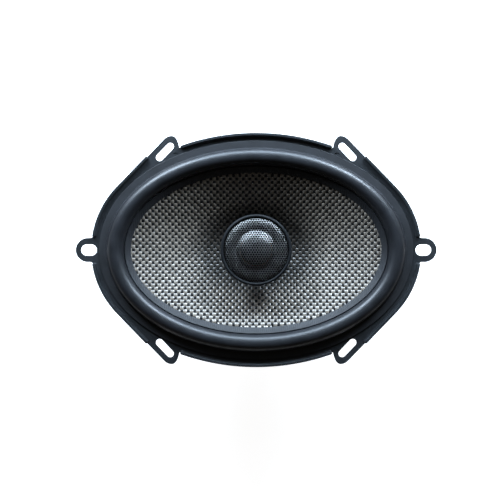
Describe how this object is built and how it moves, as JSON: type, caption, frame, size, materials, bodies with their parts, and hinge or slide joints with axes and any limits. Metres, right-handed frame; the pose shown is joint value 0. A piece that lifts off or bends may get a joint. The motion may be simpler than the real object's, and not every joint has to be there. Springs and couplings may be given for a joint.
{
  "type": "coaxial car speaker",
  "caption": "Oval coaxial car speaker: slotted flange, rubber surround, woven cone, post-mounted tweeter pod with mesh grille, spoked basket and booted ring magnet.",
  "frame": {"origin": "centre of the rear face of the magnet boot, on the cone's axis", "axes": "+Z along the cone's axis, out of its front; +X along the long side; -Y is the terminals' side"},
  "size_m": [0.234, 0.1516, 0.0734],
  "materials": {
    "black_steel": "satin black enamel on pressed steel, slight orange peel",
    "surround_rubber": "moulded rubber with a soft sheen",
    "glass_weave": "plain-woven glass fibre, resin coated, glossy yarns with dark gaps",
    "zinc_steel": "bright zinc plating",
    "ferrite": "ground grey ferrite ceramic",
    "boot_rubber": "matt black rubber",
    "spider_cloth": "corrugated, resin-stiffened cotton weave",
    "former_film": "amber polyimide film",
    "copper": "lacquered copper wire turns",
    "phenolic": "brown phenolic paper board",
    "brass": "stamped brass, slightly tarnished",
    "black_plastic": "fine-textured black ABS",
    "grille_metal": "perforated metal, dark satin paint with bright glints",
    "nickel": "nickel-plated magnet",
    "dome_silk": "coated black silk",
    "tinsel": "braided tinsel wire",
    "lead_red": "red lead insulation",
    "lead_black": "black lead insulation",
    "capacitor_sleeve": "blue shrink sleeve without printing"
  },
  "bodies": {
    "chassis": {"basket_frame": "black_steel", "surround": "surround_rubber", "spider": "spider_cloth", "tinsel_lead_wide": "tinsel", "tinsel_lead_narrow": "tinsel", "top_plate": "zinc_steel", "ferrite_magnet": "ferrite", "back_plate_and_pole": "zinc_steel", "magnet_boot": "boot_rubber", "basket_rivet_1": "zinc_steel", "basket_rivet_2": "zinc_steel", "basket_rivet_3": "zinc_steel", "basket_rivet_4": "zinc_steel", "terminal_strip": "phenolic", "strip_rivet": "zinc_steel", "spade_terminal_wide": "brass", "spade_terminal_narrow": "brass", "terminal_rivet_wide": "brass", "terminal_rivet_narrow": "brass", "crossover_capacitor": "capacitor_sleeve", "tweeter_lead_to_capacitor": "lead_red", "tweeter_lead_to_terminal": "lead_black", "tweeter_post": "black_plastic", "post_nut": "zinc_steel", "tweeter_housing": "black_plastic", "tweeter_yoke": "zinc_steel", "tweeter_magnet": "nickel", "tweeter_pole_disc": "zinc_steel", "tweeter_diaphragm_ring": "black_plastic", "tweeter_dome_surround": "dome_silk", "tweeter_grille": "grille_metal", "tweeter_bezel": "black_plastic"},
    "cone_assembly": {"cone": "glass_weave", "voice_coil_former": "former_film", "voice_coil_winding": "copper"},
    "tweeter_diaphragm": {"tweeter_dome": "dome_silk", "tweeter_voice_coil": "copper"}
  },
  "joints": [
    {"name": "cone_travel", "type": "slide", "parent": "chassis", "child": "cone_assembly", "axis": [0, 0, 1], "range_m": [-0.005, 0.005], "stiffness_N_per_m": 2500, "deforming": ["surround", "spider", "tinsel_lead_wide", "tinsel_lead_narrow"]},
    {"name": "tweeter_dome_travel", "type": "slide", "parent": "chassis", "child": "tweeter_diaphragm", "axis": [0, 0, 1], "range_m": [-0.0003, 0.0003], "stiffness_N_per_m": 2000, "deforming": ["tweeter_dome_surround"]}
  ]
}
